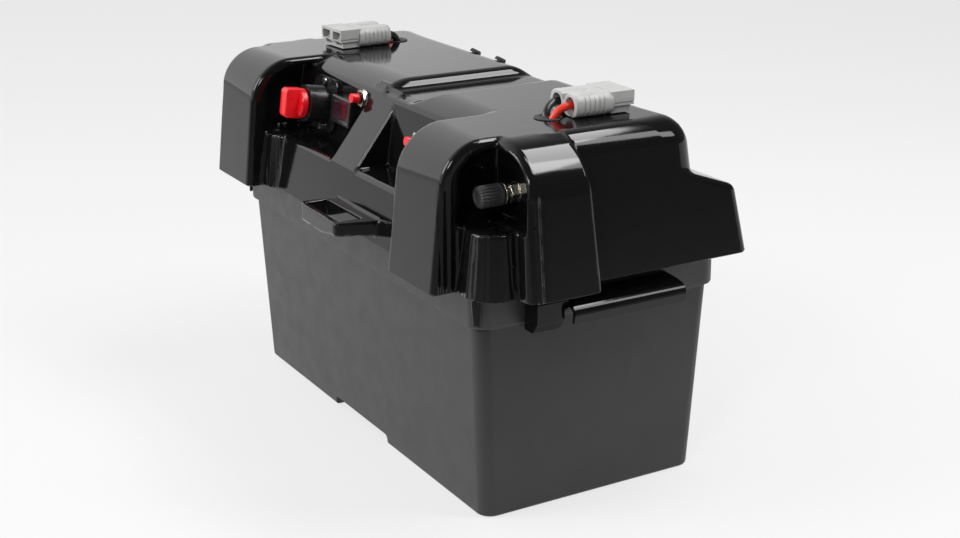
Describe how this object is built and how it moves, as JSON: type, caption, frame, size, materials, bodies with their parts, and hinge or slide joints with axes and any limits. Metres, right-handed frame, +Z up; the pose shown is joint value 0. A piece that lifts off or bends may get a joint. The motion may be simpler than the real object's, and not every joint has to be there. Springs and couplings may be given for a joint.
{
  "type": "portable battery box",
  "caption": "Lidded box for a portable battery, with isolator switch, voltmeter, reset buttons, terminals and flying connectors on the lid, and grips at its ends.",
  "frame": {"origin": "middle of the whole part's footprint box, on the ground under the tub", "axes": "+X along the box towards the end with the black terminal knob, -Y towards the front with the fittings, +Z up"},
  "size_m": [0.479, 0.261, 0.2942],
  "materials": {
    "tub_plastic": "fine leather-like grain, satin",
    "lid_plastic": "glossy black, moulded",
    "grip_plastic": "glossy black, moulded",
    "black_plastic": "satin black",
    "red_plastic": "satin red",
    "lens": "dark red clear window over a display",
    "steel_screws": "bright plated",
    "nickel": "bright plated",
    "copper_studs": "plated copper",
    "rubber": "soft, matt",
    "grey_plastic": "light grey, moulded",
    "contact_metal": "silver plated",
    "red_lead": "smooth red insulation",
    "black_lead": "smooth black insulation"
  },
  "bodies": {
    "box": {"tub": "tub_plastic", "carry_grip_right": "grip_plastic", "carry_grip_left": "grip_plastic"},
    "lid": {"lid": "lid_plastic", "rear_plugs": "rubber", "isolator_body": "black_plastic", "isolator_screws": "steel_screws", "isolator_studs": "copper_studs", "isolator_stud_nuts": "nickel", "voltmeter_body": "black_plastic", "voltmeter_bezel": "black_plastic", "voltmeter_lens": "lens", "breaker_body_left": "black_plastic", "breaker_nut_left": "nickel", "breaker_body_right": "black_plastic", "breaker_nut_right": "nickel", "terminal_stud_right": "nickel", "terminal_stud_left": "nickel", "terminal_washers_right": "nickel", "terminal_washers_left": "nickel", "terminal_nut_right": "nickel", "terminal_nut_left": "nickel", "terminal_backnut_right": "nickel", "terminal_backnut_left": "nickel", "lead_grommet_right": "rubber", "lead_grommet_left": "rubber", "connector_right": "grey_plastic", "connector_left": "grey_plastic", "contacts_right": "contact_metal", "contacts_left": "contact_metal", "lead_red_right": "red_lead", "lead_black_right": "black_lead", "lead_red_left": "red_lead", "lead_black_left": "black_lead"},
    "key": {"isolator_key": "red_plastic"},
    "button_left": {"reset_button_left": "red_plastic"},
    "button_right": {"reset_button_right": "red_plastic"},
    "knob_black": {"terminal_knob_black": "black_plastic"},
    "knob_red": {"terminal_knob_red": "red_plastic"}
  },
  "joints": [
    {"name": "lid_lift", "type": "slide", "parent": "box", "child": "lid", "axis": [0, 0, 1], "range_m": [0, 0.1]},
    {"name": "isolator_turn", "type": "hinge", "parent": "lid", "child": "key", "pos_m": [-0.092, -0.06476, 0.24639], "axis": [0, -0.9903, 0.1386], "range_deg": [0, 90]},
    {"name": "reset_left_press", "type": "slide", "parent": "lid", "child": "button_left", "axis": [0, 0.9903, -0.1386], "range_m": [0, 0.003], "stiffness_N_per_m": 300, "springref_m": -0.001},
    {"name": "reset_right_press", "type": "slide", "parent": "lid", "child": "button_right", "axis": [0, 0.9903, -0.1386], "range_m": [0, 0.003], "stiffness_N_per_m": 300, "springref_m": -0.001},
    {"name": "knob_black_turn", "type": "hinge", "parent": "lid", "child": "knob_black", "pos_m": [0.195, -0.0715, 0.241], "axis": [0, -1, 0], "continuous": true},
    {"name": "knob_red_turn", "type": "hinge", "parent": "lid", "child": "knob_red", "pos_m": [-0.195, -0.0715, 0.241], "axis": [0, -1, 0], "continuous": true}
  ]
}
